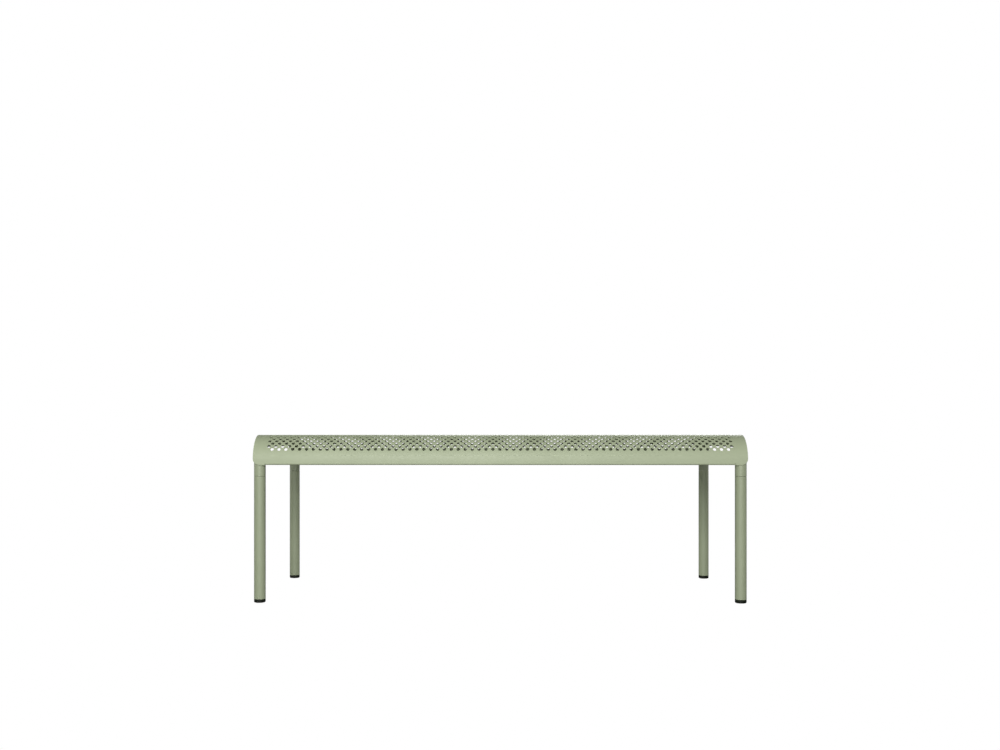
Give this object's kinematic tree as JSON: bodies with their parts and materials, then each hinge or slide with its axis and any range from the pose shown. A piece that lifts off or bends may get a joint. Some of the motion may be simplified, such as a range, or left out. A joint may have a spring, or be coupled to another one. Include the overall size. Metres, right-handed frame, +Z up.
{
  "type": "backless bench",
  "caption": "Backless outdoor bench: a perforated sheet-steel seat whose long edges roll down into skirts, on bent-tube end frames with round screw-on legs and plastic glides.",
  "frame": {"origin": "on the ground under the middle of the seat", "axes": "+X along the bench, to the right seen from the front; -Y to the front; +Z up"},
  "size_m": [1.286, 0.499, 0.438],
  "materials": {
    "powder_coat": "matt sage-green powder coat on steel",
    "plated_steel": "zinc-plated turned steel",
    "black_plastic": "moulded black polyamide"
  },
  "bodies": {
    "root": {"seat_panel": "powder_coat", "end_frame_left": "powder_coat", "top_weld_left": "powder_coat", "end_frame_right": "powder_coat", "top_weld_right": "powder_coat", "corner_weld_front_left": "powder_coat", "leg_front_left": "powder_coat", "stub_insert_front_left": "plated_steel", "leg_insert_front_left": "plated_steel", "leg_stud_front_left": "plated_steel", "glide_front_left": "black_plastic", "corner_weld_rear_left": "powder_coat", "leg_rear_left": "powder_coat", "stub_insert_rear_left": "plated_steel", "leg_insert_rear_left": "plated_steel", "leg_stud_rear_left": "plated_steel", "glide_rear_left": "black_plastic", "corner_weld_front_right": "powder_coat", "leg_front_right": "powder_coat", "stub_insert_front_right": "plated_steel", "leg_insert_front_right": "plated_steel", "leg_stud_front_right": "plated_steel", "glide_front_right": "black_plastic", "corner_weld_rear_right": "powder_coat", "leg_rear_right": "powder_coat", "stub_insert_rear_right": "plated_steel", "leg_insert_rear_right": "plated_steel", "leg_stud_rear_right": "plated_steel", "glide_rear_right": "black_plastic"}
  },
  "joints": []
}
